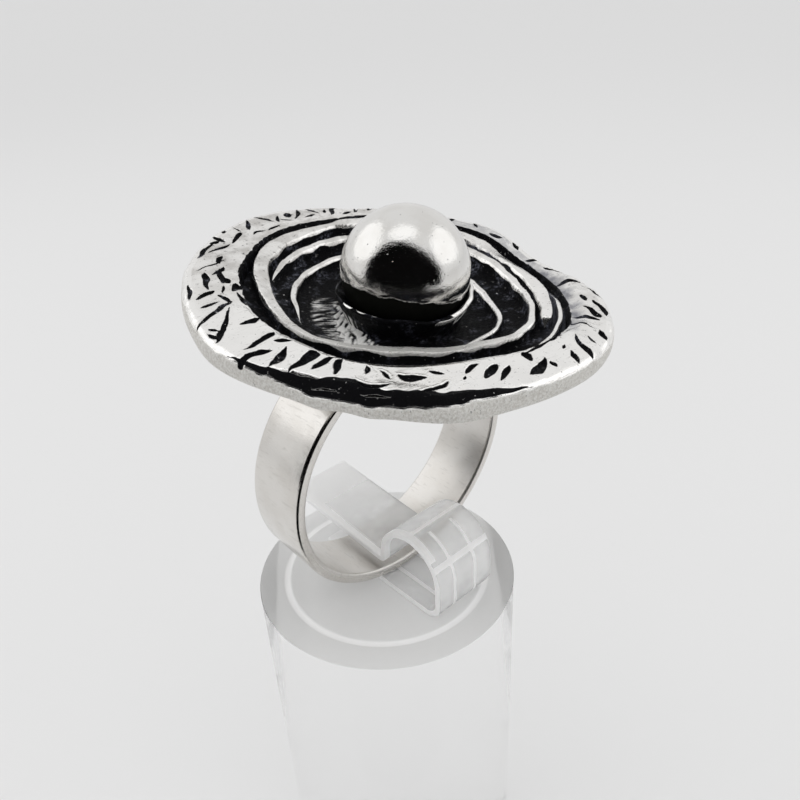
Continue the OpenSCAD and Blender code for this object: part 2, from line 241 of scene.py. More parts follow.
# The cuts in the brim: angle and radius of the middle, slant from the outward direction in degrees,
# length, and width before it is widened. One that isn't straight and even also has its bow, and the
# share of its length at which it is widest.
CUTS = [
    (185, 11.5, 13, 2.7, 0.42, 0.1, 0.3),
    (190, 12.9, -8, 2.4, 0.4, -0.15, 0.3),
    (194.5, 12, 16, 2.2, 0.4, 0.1, 0.6),
    (190, 10.6, -38, 1, 0.32),
    (200.7, 11.6, -4, 2.7, 0.58, 0, 0.15),
    (205.5, 11.2, -15, 1.9, 0.42, 0, 0.4),
    (210, 11.2, 8, 1.9, 0.3),
    (220.5, 12.1, 92, 1.9, 0.3, -0.4, 0.4),
    (217.6, 11, 10, 0.9, 0.26, 0.08, 0.5),
    (223.2, 11.2, 40, 1, 0.2, 0, 0.6),
    (230, 11.1, 84, 1.5, 0.6, -0.3, 0.5),
    (235.3, 12.2, 122, 2.1, 0.28, -0.22, 0.5),
    (237.6, 10.8, 70, 0.9, 0.28),
    (244.6, 11.4, 140, 0.4, 0.16),
    (248.5, 10.6, 122, 1.4, 0.28, 0.1, 0.4),
    (253, 11.1, 126, 1.7, 0.45, -0.08, 0.45),
    (256.3, 11.6, 129, 1.8, 0.34, 0, 0.6),
    (266.8, 11.8, 112, 2.4, 0.46, -0.24, 0.3),
    (268.3, 10.8, 160, 1.2, 0.5, 0, 0.6),
    (271, 12.2, 158, 0.8, 0.26, 0, 0.6),
    (279, 12.5, 135, 1.5, 0.3, -0.08, 0.4),
    (286.5, 12.4, 133, 2.7, 0.34, 0.12, 0.35),
    (291.8, 12.5, 137, 1, 0.13),
    (285.5, 10.6, 92, 1.2, 0.3, 0, 0.35),
    (288.5, 10.6, 20, 0.6, 0.22),
    (282.2, 11.5, 105, 0.7, 0.14),
    (279, 10.42, 88, 4.6, 0.24, 0, 0.6),
    (300.4, 11.3, 169, 1.5, 0.34, -0.22, 0.4),
    (296.4, 13, 115, 1.5, 0.44, 0, 0.45),
    (299, 12.2, 150, 0.5, 0.12),
    (306.9, 11.9, 161, 1.7, 0.36, -0.12, 0.4),
    (311.3, 12.3, 116, 2, 0.42, 0, 0.22),
    (314.8, 12.9, 98, 2.7, 0.36, -0.18, 0.72),
    (322, 12.2, 82, 1, 0.34, 0, 0.55),
    (335.6, 12.5, 165, 1.8, 0.5, -0.4, 0.45),
    (327, 13.2, 100, 2.4, 0.16, -0.1, 0.5),
    (349, 13.1, 110, 1.6, 0.24),
    (358, 13.2, 140, 1.2, 0.28, 0.1, 0.5),
    (123.7, 13.4, 93, 2.8, 0.26, 0, 0.6),
    (121, 12.7, 71, 2, 0.26, 0.08, 0.5),
    (133.5, 12.2, 56, 2.6, 0.17),
    (144.5, 12.1, 99, 2.5, 0.34, -0.06, 0.3),
    (153, 12.2, 43, 1.6, 0.36, 0, 0.4),
    (140.3, 11.3, 106, 2.1, 0.28, 0, 0.6),
    (149.5, 11.1, 80, 1, 0.14),
    (156, 11.2, 112, 1.5, 0.3, 0.08, 0.5),
    (159.3, 12.1, 29, 1.5, 0.26),
    (164.8, 12.1, 43, 3.9, 0.32),
    (172.3, 12.2, 56, 4.4, 0.3, 0.1, 0.7),
    (157, 10.1, 97, 1.9, 0.2, 0, 0.6),
    (151, 13.1, 90, 2.3, 0.2),
    (172.9, 10.6, 12, 1.5, 0.4, 0.12, 0.45),
    (173.7, 12.9, 124, 0.6, 0.22),
    (176.3, 13.3, 92, 0.9, 0.26, 0, 0.7),
    (62.3, 13.6, 158, 1.7, 0.26, 0.1, 0.6),
    (66.2, 12.6, 140, 1.3, 0.34),
    (70.7, 13.1, 156, 2, 0.28, 0, 0.6),
    (73.6, 13, 160, 0.8, 0.2),
    (77.6, 13.2, 25, 1.3, 0.22),
    (84, 13.1, 147, 2.3, 0.24, 0.2, 0.5),
    (87.2, 13.1, 170, 0.9, 0.4),
    (91.7, 12.8, 146, 1.3, 0.22),
    (95.6, 13.3, 20, 1.7, 0.26, -0.1, 0.6),
    (102.3, 13.3, 141, 2, 0.28, 0, 0.6),
    (107.3, 13.3, 168, 1, 0.14),
    (112, 12.5, 103, 1.8, 0.36, 0, 0.25),
    (115.4, 13.4, 160, 1.4, 0.3),
    (110.8, 13.8, 106, 0.6, 0.28),
    (104.5, 11.8, 80, 1.2, 0.24, -0.25, 0.5),
    (98, 11.6, 95, 1.2, 0.22),
    (57.5, 13.6, 165, 1, 0.28),
    (51, 13.6, 20, 1.2, 0.26, 0, 0.6),
    (45, 13.5, 150, 1.2, 0.3),
    (37.5, 13.6, 60, 1.2, 0.24, 0.1, 0.5),
    (30, 13.7, 155, 1, 0.28, 0, 0.6),
    (22, 13.8, 35, 0.9, 0.26),
    (14, 13.5, 100, 1.1, 0.26, 0.1, 0.5),
    (6.5, 13.5, 60, 1, 0.26, -0.12, 0.5),
    (148, 10.4, 80, 1.1, 0.46, 0.1, 0.5),
    (143.5, 10.9, 120, 0.9, 0.34),
    (137, 11.6, 70, 1.4, 0.3, 0.12, 0.4),
    (129, 11.9, 105, 1.2, 0.34, -0.1, 0.6),
    (118, 13.4, 60, 0.9, 0.34),
    (89.5, 12.4, 40, 1, 0.26, 0.08, 0.5),
    (80.5, 12.3, 110, 1.1, 0.24, 0, 0.4),
]
CUT_WIDEN = 1.25

# The dark opening that the silver mirrors, seen from the ball: azimuth and elevation of its middle and
# of the points of its edge, and its distance in metres
OPENING_MID = (222, 20)
OPENING_AWAY = 0.28
OPENING_EDGE = [
    (150, -8), (153, 14), (158, 36), (167, 54), (180, 64), (200, 69), (225, 69), (250, 65), (267, 54),
    (279, 40), (288, 21), (292, 2), (288, -12), (265, -18), (240, -20), (215, -20), (190, -15), (168, -10),
]

# The dark table top that the silver mirrors: directions and how far out its corners lie, in metres
TABLE_EDGE = [(196, 0.035), (196, 0.3), (262, 0.3), (262, 0.035)]
TABLE_UP = 0.0002
FLOOR_DROP = 0.00003
FLOOR_W = 8

# Soft panels of light: azimuth and elevation from the ball, distance, width and height in metres, and glow
PANELS = {
    "left_panel": (120, 36, 0.34, 0.38, 0.3, 0.38),
    "right_panel": (325, 29, 0.34, 0.38, 0.28, 0.38),
    "top_panel": (229, 88, 0.34, 0.25, 0.17, 0.34),
}
FILL_GLOW = 0.25
FILL_SPREAD = math.radians(60)

# The camera at the picture's angle: place, the ways its right side and its lens point, lens and sensor
CAMERA_PLACE = (-29.46, -36.42, 82.8)
CAMERA_RIGHT = (0.732, -0.6795, -0.0497)
CAMERA_AHEAD = (0.5671, 0.6482, -0.5082)
CAMERA_LENS = 35.53
CAMERA_SENSOR = 36

# Colours of the metal
SILVER = (0.97, 0.96, 0.94, 1)
STAIN_AND_EDGE_SHADE = (0.5, 0.48, 0.455, 1)
SMOKE = (0.2, 0.205, 0.24, 1)
RUBBED = (0.9, 0.89, 0.87, 1)
SANDED_DULL, SANDED_PALE = (0.66, 0.64, 0.6, 1), (0.84, 0.83, 0.8, 1)
SANDED_SPECK = (0.2, 0.19, 0.18, 1)
OXIDE = (0.004, 0.004, 0.005, 1)
OXIDE_HAZE = (0.075, 0.08, 0.11, 1)
BALL_PALE, BALL_DULL = (0.82, 0.81, 0.79, 1), (0.77, 0.755, 0.73, 1)
BALL_BLACK = (0.005, 0.005, 0.004, 1)
SHANK_PALE, SHANK_DULL = (0.76, 0.74, 0.71, 1), (0.71, 0.685, 0.65, 1)
SHANK_SCRATCH = (0.52, 0.5, 0.47, 1)

# Colours of the plastic and the surroundings. The plastic bends light less than real plastic does, to
# look as pale as the real one.
CLIP_CLEAR = (0.99, 0.99, 0.99, 1)
CLIP_IOR = 1.32
POST_CLEAR = (0.995, 0.995, 0.995, 1)
# The post's grey top is painted shade for the floor seen through the rod, and its white line a painted
# highlight.
POST_PAINTED_SHADE, POST_LINE_HIGHLIGHT = (0.77, 0.77, 0.765, 1), (0.99, 0.99, 0.99, 1)
POST_IOR = 1.12
PALE = (0.8, 0.8, 0.8, 1)
DARK = (0.004, 0.004, 0.004, 1)


def clamp01(t):
    return np.clip(t, 0, 1)


def ease(t):
    c = clamp01(t)
    return c * c * (3 - 2 * c)


def mix(a, b, t):
    return a + (b - a) * t


def cubic(a, b, c, d, t):
    return b + 0.5 * t * (c - a + t * (2 * a - 5 * b + 4 * c - d + t * (3 * (b - c) + d - a)))


def round_at(column, angle):
    """A column of the rim's closed table at angles in degrees."""
    values = np.array([row[column] for row in RIM_ROWS])
    n = len(values)
    s = np.mod(angle, 360) / RIM_STEP
    i = np.floor(s).astype(int)
    return cubic(values[(i - 1) % n], values[i % n], values[(i + 1) % n], values[(i + 2) % n], s - i)


def along(rib, winding, column):
    """A column of a rib's open table at winding angles."""
    values = np.array([row[column] for row in rib["rows"]])
    n = len(values)
    s = np.clip((winding - rib["start"]) / rib["step"], 0, n - 1)
    i = np.minimum(n - 2, np.floor(s).astype(int))
    before, after = values[np.maximum(0, i - 1)], values[np.minimum(n - 1, i + 2)]
    return cubic(before, values[i], values[i + 1], after, s - i)


def rib_at(rib, winding, radius):
    """How far each point lies inside a rib's top, in millimetres, and the rib's height there from 0 to 1."""
    there = (winding >= rib["start"]) & (winding <= rib["end"])
    half = along(rib, winding, RIB_WIDE) * RIB_W / 2
    off = np.abs(radius - along(rib, winding, RIB_MIDDLE) * HEAD_R)
    fade = between(winding, rib["start"], rib["end"], rib["lead"], TAPER)
    inside = half * fade - off
    height = fade * ease((half + RIB_EDGE / 2 - off) / RIB_EDGE)
    return np.where(there, inside, -RIB_W), np.where(there, height, 0)


def ribs_at(angle, radius):
    """All ribs together: distance inside the nearest rib's top, and the height they add to the dish."""
    inside = np.full(np.shape(radius), -RIB_W)
    height = np.zeros(np.shape(radius))
    for rib in (SPIRAL_RIB, INNER_RIB, LIP_RIB):
        tallest = np.zeros(np.shape(radius))
        for turn in (-360, 0, 360):
            near, high = rib_at(rib, angle + turn, radius)
            inside = np.maximum(inside, near)
            tallest = np.maximum(tallest, high)
        height = height + rib["height"] * tallest
    return inside, height


def outline_r(angle):
    return HEAD_R * round_at(OUTLINE, angle)


def brim_r(angle):
    return HEAD_R * round_at(BRIM_IN, angle)


def lift_z(angle):
    return RIM_T * round_at(LIFT, angle)


def dish_z(angle, radius):
    share = radius / HEAD_R
    rise = DISH_RISE * clamp01((share - DISH_FROM) / (DISH_TO - DISH_FROM))
    follow = lift_z(angle) * clamp01((share - DISH_TO) / (GROOVE_TO - DISH_TO))
    return FLOOR_Z + rise + follow


def under_z(angle, radius):
    flat_r = UNDER_FLAT * HEAD_R
    share = clamp01((radius - flat_r) / (outline_r(angle) - UNDER_IN - flat_r))
    return mix(UNDERSIDE_Z, BRIM_Z + lift_z(angle) - RIM_T, share * share)


def polar(angle, radius):
    a = np.radians(angle)
    return radius * np.cos(a), radius * np.sin(a)


def apart(angle, middle):
    """Degrees between angles and a middle, either way round."""
    return np.abs((angle - middle + 180) % 360 - 180)


def between(value, start, end, fade_in, fade_out):
    """1 between a start and an end, with a soft step inside each."""
    return ease((value - start) / fade_in) * ease((end - value) / fade_out)


def window(angle, middle, half, fade):
    """1 near a middle, falling to 0 at half a width from it, all in degrees."""
    return ease((half - apart(angle, middle)) / fade)


def ripple(x, y, wave, seed, count=9):
    """A smooth uneven surface from -1 to 1, with bumps about a wave apart."""
    rng = np.random.default_rng(seed)
    total = np.zeros(np.shape(x))
    for _ in range(count):
        way = rng.uniform(0, 2 * math.pi)
        size = wave * rng.uniform(0.7, 1.5)
        start = rng.uniform(0, 2 * math.pi)
        total += np.sin((x * math.cos(way) + y * math.sin(way)) * 2 * math.pi / size + start)
    return total / math.sqrt(count * 2)


def along_way(x, y, way):
    """Places ahead in a direction given in degrees, and across it."""
    c, s = math.cos(math.radians(way)), math.sin(math.radians(way))
    return x * c + y * s, y * c - x * s


def streaks(x, y, way, width, seed):
    """Uneven streaks from -1 to 1, about a width across, that run one way."""
    ahead, across = along_way(x, y, way)
    across = across + 0.12 * ripple(x, y, 3.0, seed)
    return ripple(ahead * 0.14, across, width, seed + 1) * (0.8 + 0.35 * ripple(x, y, 1.0, seed + 2))


def inside_cuts(x, y):
    """How far each point of the brim lies inside a cut, in millimetres."""
    inside = np.full(np.shape(x), -1.0)
    x, y = x + 0.07 * ripple(x, y, 1.3, 61), y + 0.07 * ripple(x, y, 1.3, 63)
    for angle, radius, slant, length, width, *shape in CUTS:
        bow, widest = shape or (0, 0.5)
        mid_x, mid_y = polar(angle, radius)
        ahead, across = along_way(x - mid_x, y - mid_y, angle + slant)
        across = across - bow * (1 - (2 * ahead / length) ** 2)
        t = clamp01(ahead / length + 0.5)
        swell = np.where(t < widest, t / widest, (1 - t) / (1 - widest))
        half = CUT_WIDEN * width / 2 * np.sin(swell * math.pi / 2) ** 0.7
        past = np.maximum(np.abs(ahead) - length / 2, 0)
        inside = np.maximum(inside, half - np.hypot(past, across))
    return inside


def alone(obj):
    """Selects one object and no other, and makes it the active one."""
    bpy.ops.object.select_all(action="DESELECT")
    obj.select_set(True)
    bpy.context.view_layer.objects.active = obj


def start_piece(name, add, **sizes):
    """Adds a primitive, and puts its place and turn into its mesh."""
    add(**sizes)
    obj = bpy.context.object
    obj.name = name
    bpy.ops.object.transform_apply()
    return obj


def corners(obj):
    co = np.empty(len(obj.data.vertices) * 3)
    obj.data.vertices.foreach_get("co", co)
    return co.reshape(-1, 3)


def set_corners(obj, co):
    obj.data.vertices.foreach_set("co", np.asarray(co, float).ravel())
    obj.data.update()


def mark(obj, name, values):
    """Stores one number on each corner for the materials to read."""
    layer = obj.data.attributes.new(name, "FLOAT", "POINT")
    layer.data.foreach_set("value", np.asarray(values, np.float32).ravel())


def in_edit(obj, action="SELECT"):
    alone(obj)
    bpy.ops.object.mode_set(mode="EDIT")
    bpy.ops.mesh.select_all(action=action)


def out_of_edit():
    bpy.ops.object.mode_set(mode="OBJECT")


def merge(obj, outwards=False):
    in_edit(obj)
    bpy.ops.mesh.remove_doubles()
    if outwards:
        bpy.ops.mesh.normals_make_consistent(inside=False)
    out_of_edit()


def give_wall(obj, thickness, offset, even=False):
    wall = obj.modifiers.new("wall", "SOLIDIFY")
    wall.thickness = thickness
    wall.offset = offset
    wall.use_even_offset = even


def round_edges(obj, width, segments, degrees):
    """Rounds the edges that are sharper than an angle, and applies all modifiers."""
    edges = obj.modifiers.new("edges", "BEVEL")
    edges.width = width
    edges.segments = segments
    edges.limit_method = "ANGLE"
    edges.angle_limit = math.radians(degrees)
    alone(obj)
    for modifier in list(obj.modifiers):
        bpy.ops.object.modifier_apply(modifier=modifier.name)


def mark_cast(obj, bright, grain, worn, smoke=0, rubbed=0):
    """Stores what the cast silver reads: signed millimetres for "bright", and shares from 0 to 1."""
    mark(obj, "bright", np.clip(bright, -MARK_REACH, MARK_REACH))
    for name, share in dict(grain=grain, worn=worn, smoke=smoke, rubbed=rubbed).items():
        mark(obj, name, share + np.zeros(np.shape(bright)))


def settled(obj, matrix, sharp=None):
    """The piece in metres, in its place and smooth, apart from edges sharper than an angle."""
    obj.data.transform(matrix @ Matrix.Scale(MM, 4))
    obj.data.update()
    alone(obj)
    if sharp is None:
        bpy.ops.object.shade_smooth()
    else:
        bpy.ops.object.shade_smooth_by_angle(angle=math.radians(sharp))
    return obj


def rolled_sheet(name, stations, rings):
    """A flat grid for rolling up round the ball, with the angle and the row of each corner."""
    obj = start_piece(name, bpy.ops.mesh.primitive_grid_add, x_subdivisions=stations, y_subdivisions=rings)
    co = corners(obj)
    angle = 360 * (1 - (co[:, 0] + 1) / 2)
    row = np.rint((co[:, 1] + 1) / 2 * rings).astype(int)
    return obj, angle, row


def lathe(name, profile, steps):
    """A ring of edges, extruded and scaled from point to point of a closed profile of radii and heights."""
    r, z = profile[0]
    obj = start_piece(name, bpy.ops.mesh.primitive_circle_add, vertices=steps, radius=r, location=(0, 0, z))
    in_edit(obj)
    for (r0, z0), (r1, z1) in zip(profile, profile[1:] + profile[:1]):
        bpy.ops.mesh.extrude_region_move(TRANSFORM_OT_translate={"value": (0, 0, z1 - z0)})
        bpy.ops.transform.resize(value=(r1 / r0, r1 / r0, 1), center_override=(0, 0, z1))
    out_of_edit()
    merge(obj, outwards=True)
    return obj


class Finish:
    """A material under way: its nodes are added one by one."""

    def __init__(self, name):
        self.material = bpy.data.materials.new(name)
        self.material.use_nodes = True
        self.nodes = self.material.node_tree.nodes
        self.links = self.material.node_tree.links
        self.shader = self.nodes["Principled BSDF"]
        in_metres = self.node("TexCoord").outputs["Object"]
        self.place = self.node("Mapping", Vector=in_metres, Scale=(1 / MM, 1 / MM, 1 / MM)).outputs["Vector"]

    def node(self, kind, **values):
        node = self.nodes.new("ShaderNode" + kind)
        for name, value in values.items():
            self.feed(node.inputs[name], value)
        return node

    def feed(self, socket, value):
        if isinstance(value, bpy.types.NodeSocket):
            self.links.new(value, socket)
        else:
            socket.default_value = value

    def set(self, **values):
        for name, value in values.items():
            self.feed(self.shader.inputs[name.replace("_", " ")], value)

    def attribute(self, name):
        node = self.node("Attribute")
        node.attribute_name = name
        return node.outputs["Fac"]

    def noise(self, scale, detail=2.0, rough=0.5, stretch=None, turn=(0, 0, 0)):
        """Noise from 0 to 1, with so many waves to a millimetre, and stretched if asked."""
        place = self.place
        if stretch is not None:
            place = self.node("Mapping", Vector=place, Rotation=turn, Scale=stretch).outputs["Vector"]
        return self.node("TexNoise", Vector=place, Scale=scale, Detail=detail, Roughness=rough).outputs["Fac"]

    def pits(self, scale, size):
        """Small round pits: 1 in their middles and 0 outside them."""
        cells = self.node("TexVoronoi", Vector=self.place, Scale=scale)
        return self.span(cells.outputs["Distance"], size, 0)

    def span(self, value, low, high, to_low=0.0, to_high=1.0):
        node = self.node("MapRange")
        node.interpolation_type = "SMOOTHSTEP"
        for socket, v in zip(node.inputs, (value, low, high, to_low, to_high)):
            self.feed(socket, v)
        return node.outputs["Result"]

    def maths(self, operation, a, b):
        node = self.node("Math")
        node.operation = operation
        self.feed(node.inputs[0], a)
        self.feed(node.inputs[1], b)
        return node.outputs["Value"]

    def times(self, a, b):
        return self.maths("MULTIPLY", a, b)

    def plus(self, a, b):
        return self.maths("ADD", a, b)

    def most(self, a, b):
        return self.maths("MAXIMUM", a, b)

    def less(self, a, b):
        return self.maths("SUBTRACT", a, b)

    def blend(self, share, a, b):
        """A colour or a number between two others."""
        node = self.node("Mix")
        colour = any(isinstance(v, tuple) or getattr(v, "type", "") == "RGBA" for v in (a, b))
        node.data_type = "RGBA" if colour else "FLOAT"
        inputs = {s.identifier: s for s in node.inputs}
        kind = "Color" if colour else "Float"
        self.feed(inputs["Factor_Float"], share)
        self.feed(inputs["A_" + kind], a)
        self.feed(inputs["B_" + kind], b)
        return {s.identifier: s for s in node.outputs}["Result_" + kind]

    def done(self, *bumps):
        """The material. Each bump on it has a height from 0 to 1 and its depth in millimetres."""
        socket = self.shader.inputs["Normal"]
        for height, depth in reversed(bumps):
            node = self.node("Bump", Distance=depth * MM, Height=height)
            self.feed(socket, node.outputs["Normal"])
            socket = node.inputs["Normal"]
        return self.material


def oxidised_silver():
    """Silver, polished where "bright" is above 0 and black below it, matte where "grain" is 1.

    It is dull where "worn" is 1, smoked where "smoke" is 1 and rubbed pale where "rubbed" is 1.
    """
    f = Finish("oxidised silver")
    grain = f.attribute("grain")
    worn = f.attribute("worn")
    edge = f.attribute("bright")
    smoke = f.times(f.attribute("smoke"), f.span(f.noise(1.3, 4, 0.65), 0.3, 0.62, 0.35, 1.0))
    rubbed = f.span(f.plus(f.attribute("rubbed"), f.times(f.less(f.noise(6, 4, 0.7), 0.5), 0.7)), 0.3, 0.85)

    # Bright or black, with bright flecks in the black and black pits and specks in the bright
    wander = f.times(f.less(f.noise(5, 3), 0.5), 0.06)
    bright = f.span(f.plus(edge, wander), -0.012, 0.018)
    flecks = f.span(f.noise(5, 3, 0.6), 0.68, 0.72)
    bright = f.most(bright, f.times(flecks, 0.8))
    holes = f.times(f.pits(2.2, 0.14), f.span(f.noise(0.8, 2), 0.5, 0.6))
    specks = f.times(f.span(f.noise(3.2, 5, 0.7), 0.6, 0.66), f.plus(f.times(worn, 0.75), 0.12))
    bright = f.times(bright, f.less(1.0, f.most(f.times(holes, 0.7), specks)))

    # The bright metal is polished or sanded, and the black one clouded
    brushed = f.noise(1.5, 5, 0.7, stretch=(0.7, 2.6, 1.5), turn=(0, 0, math.radians(-35)))
    # Darker tan in brushed streaks, a real stain, and more so within 0.4 mm of the bright metal's edge:
    # painted shade along the rib and cut edges.
    stain_and_edge_shade = f.times(f.span(brushed, 0.53, 0.7), f.span(edge, 0.0, 0.4, 0.6, 0.18))
    dull = f.most(stain_and_edge_shade, f.times(worn, f.span(f.noise(0.8, 4), 0.35, 0.65, 0.25, 0.9)))
    polished = f.blend(smoke, f.blend(dull, SILVER, STAIN_AND_EDGE_SHADE), SMOKE)
    matte = f.blend(f.span(f.noise(7, 4, 0.7), 0.38, 0.62), SANDED_DULL, SANDED_PALE)
    matte = f.blend(f.times(f.span(f.noise(5, 3, 0.6), 0.64, 0.7), 0.6), matte, SANDED_SPECK)
    silver = f.blend(grain, polished, matte)
    haze = f.times(f.span(f.noise(0.9, 3), 0.5, 0.66), f.span(f.noise(5, 4, 0.7), 0.45, 0.6))
    haze = f.most(f.times(haze, f.span(worn, 0.05, 0.3)), f.times(smoke, 0.8))
    oxide = f.blend(haze, OXIDE, OXIDE_HAZE)
    f.set(Base_Color=f.blend(rubbed, f.blend(bright, oxide, silver), RUBBED))
    metallic = f.times(bright, f.less(1.0, f.times(grain, 0.7)))
    f.set(Metallic=f.times(metallic, f.less(1.0, f.times(rubbed, 0.8))))
    f.set(Specular_IOR_Level=f.blend(haze, 0.05, 0.5))

    polish = f.span(f.noise(1.3, 4), 0.3, 0.8, 0.05, 0.14)
    metal = f.plus(polish, f.times(f.most(grain, f.most(f.times(worn, 0.35), smoke)), 0.4))
    rough = f.blend(bright, f.span(f.noise(4, 3), 0.3, 0.7, 0.28, 0.5), metal)
    f.set(Roughness=f.blend(rubbed, rough, 0.45))

    sand = f.times(f.noise(7, 5, 0.75), grain)
    crust = f.times(f.noise(5.5, 6, 0.75), f.less(1.0, bright))
    fine = f.noise(5.0, 4, 0.7)
    return f.done((sand, 0.1), (brushed, 0.025), (fine, 0.008), (crust, 0.14), (bright, 0.03))


def satin_silver():
    """The ball: soft polish with fine pits and scratches, black where it sits in its cup."""
    f = Finish("satin silver")
    wander = f.times(f.less(f.noise(3.5, 5, 0.7), 0.5), 0.45)
    bright = f.span(f.plus(f.attribute("bright"), wander), -0.03, 0.03)
    pits = f.times(f.pits(2.6, 0.13), f.span(f.noise(1.4, 2), 0.46, 0.56))
    clean = f.times(bright, f.less(1.0, f.times(pits, 0.8)))
    tone = f.blend(f.span(f.noise(0.6, 4), 0.35, 0.7), BALL_PALE, BALL_DULL)
    f.set(Base_Color=f.blend(clean, BALL_BLACK, tone), Metallic=bright, Specular_IOR_Level=0.05)
    f.set(Roughness=f.blend(bright, 0.5, f.span(f.noise(1.1, 4), 0.3, 0.75, 0.06, 0.1)))
    return f.done((f.noise(4.6, 4, 0.7), 0.012), (f.noise(0.9, 3), 0.03), (pits, -0.05))


def brushed_silver():
    """The shank: satin, with fine scratches round the band and a few across it."""
    f = Finish("brushed silver")
    round_band = f.noise(2.5, 5, 0.7, stretch=(0.3, 6, 0.3))
    across = f.noise(1.8, 4, 0.7, stretch=(2.5, 0.4, 2.5), turn=(0.5, 0.9, 0.3))
    cloud = f.noise(0.5, 3)
    scratches = f.times(f.span(across, 0.56, 0.62), 0.35)
    tone = f.blend(f.span(cloud, 0.35, 0.7), SHANK_PALE, SHANK_DULL)
    f.set(Base_Color=f.blend(scratches, tone, SHANK_SCRATCH), Metallic=1.0)
    polish = f.span(f.plus(round_band, f.times(cloud, 0.4)), 0.4, 1.0, 0.12, 0.24)
    f.set(Roughness=f.blend(f.attribute("inside"), polish, 0.3))
    return f.done((round_band, 0.004), (across, 0.006), (f.noise(0.35, 1), 0.05))


def clear_strip():
    """The clip: clear plastic, a little hazy, with white edges and lines where "frost" is 1, painted
    highlights.
    """
    f = Finish("clear strip")
    painted_light = f.attribute("painted_light")
    haze = f.span(f.noise(0.35, 2), 0.3, 0.7, 0.26, 0.44)
    cloud = f.most(f.times(painted_light, 0.85), haze)
    f.set(Base_Color=CLIP_CLEAR, IOR=CLIP_IOR)
    f.set(Transmission_Weight=f.less(1.0, cloud), Roughness=f.plus(f.times(cloud, 0.4), 0.04))
    return f.done((f.noise(0.45, 2), 0.1))


def clear_rod():
    """The post: clear plastic with a grey top where "frost" is 1, painted shade for the floor seen through
    the rod, and a white line where "line" is 1, a painted highlight on a real crease.
    """
    f = Finish("clear rod")
    painted_light = f.attribute("painted_light")
    line = f.attribute("line")
    speckle = f.span(f.noise(2.0, 4), 0.3, 0.7, 0.94, 1.0)
    f.set(Base_Color=f.blend(painted_light, POST_CLEAR, f.blend(line, POST_PAINTED_SHADE, POST_LINE_HIGHLIGHT)), IOR=POST_IOR)
    f.set(Transmission_Weight=f.less(1.0, f.times(f.plus(f.times(painted_light, 0.72), f.times(line, 0.2)), speckle)))
    f.set(Roughness=f.plus(f.times(painted_light, 0.4), 0.03))
    return f.done((f.noise(0.15, 1), 0.02))


def plain(name, colour, rough, gloss):
    """The finish of the surroundings: one colour, without any bumps."""
    f = Finish(name)
    f.set(Base_Color=colour, Roughness=rough, Specular_IOR_Level=gloss)
    return f.done()


def finish_piece(obj, material, node):
    """Gives a piece its finish, hides the CAD part it stands for, and puts it in the root body."""
    obj.data.materials.append(material)
    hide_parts(node)
    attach(obj, "root")


def scraped_at(x, y, angle, radius):
    """How bare the floor left of the ball was scraped, from 0 to 1, in streaks."""
    ahead, across = along_way(x, y, SCRAPE_WAY)
    ragged = 0.16 * ripple(x, y, 0.8, 39)
    half = mix(*SCRAPE_HALF, ease((ahead + 1.6) / 3.0))
    strip = ease((half - np.abs(across - SCRAPE_ACROSS + ragged)) / 0.25)
    strip = strip * ease((ahead - SCRAPE_FROM + 2 * ragged) / 0.6) * ease((SCRAPE_TO - ahead) / 0.5)
    patch = np.exp(-((ahead - PATCH_AHEAD) / 0.75) ** 2 - ((across - PATCH_ACROSS) / 0.45) ** 2)
    beside = window(angle, *SCRAPED_BESIDE) * between(radius, *SCRAPED_BESIDE_R)
    below = window(angle, *SCRAPED_BELOW) * between(radius, *SCRAPED_BELOW_R)
    over = 0.55 * streaks(x, y, 172, 0.42, 37) + 0.45 * streaks(x, y, 148, 0.3, 43)
    down = np.minimum(streaks(x, y, 30, 0.25, 31), 0.4 + streaks(x, y, SCRAPE_WAY, 0.5, 34))
    beside = beside * (0.46 + 0.55 * over) + below * (0.42 + 0.35 * over)
    return clamp01(np.maximum(beside, np.maximum(strip, patch) * (0.86 + 0.74 * down)))


def make_dish():
    """The dish between the collar and the brim, with its ribs and its scraped floor, closed underneath."""
    top, under = 112, 8
    obj, angle, row = rolled_sheet("dish", 800, top + 1 + under)
    on_top = row <= top
    foot = brim_r(angle) - RIB_FLANK
    out = mix(DISH_CORE_R, foot, (row - 1) / (top - 1))
    back = foot * (top + 1 + under - row) / under
    radius = np.where(row == 0, 0, np.where(on_top, out, back))
    x, y = polar(angle, radius)
    inside, height = ribs_at(angle, radius + 0.05 * ripple(x, y, 2.2, 3))
    scraped = scraped_at(x, y, angle, radius)
    z = dish_z(angle, radius) + height * (1 + 0.06 * ripple(x, y, 3.0, 5))
    z = z + 0.02 * ripple(x, y, 1.4, 7) + 0.08 * scraped
    z = np.where(on_top, z, under_z(angle, radius))
    set_corners(obj, np.stack([x, y, z], -1))
    on_rib = inside + 0.025 * ripple(x, y, 1.6, 41) - 0.03
    on_rib = on_rib + 2 * np.clip(on_rib, -1, 0.1)
    sanded = window(angle, *DISH_SANDED) * ease((radius - 5.5) / 1.0)
    groove = ease((radius / HEAD_R - 0.66) / 0.08) * (on_rib < 0)
    mark_cast(
        obj,
        bright=np.where(on_top, on_rib, MARK_REACH),
        grain=np.where(on_top, 0.05 + 0.5 * sanded, 1.0),
        worn=0.25 + 0.45 * window(angle, *DISH_WORN),
        smoke=window(angle, *DISH_SMOKED) * groove,
        rubbed=np.where(on_top, scraped, 0),
    )
    merge(obj)
    return settled(obj, HEAD)


def along_section(section, steps):
    """Way in and drop at even steps along a section of the rim, in millimetres."""
    pts = np.array([section[0], *section, section[-1]]) * RIM_T
    fine = np.array([cubic(*pts[i:i + 4], t) for i in range(len(section) - 1) for t in np.linspace(0, 1, 12)])
    length = np.concatenate([[0], np.cumsum(np.hypot(*np.diff(fine, axis=0).T))])
    at = np.linspace(0, length[-1], steps + 1)
    return np.interp(at, length, fine[:, 0]), np.interp(at, length, fine[:, 1])


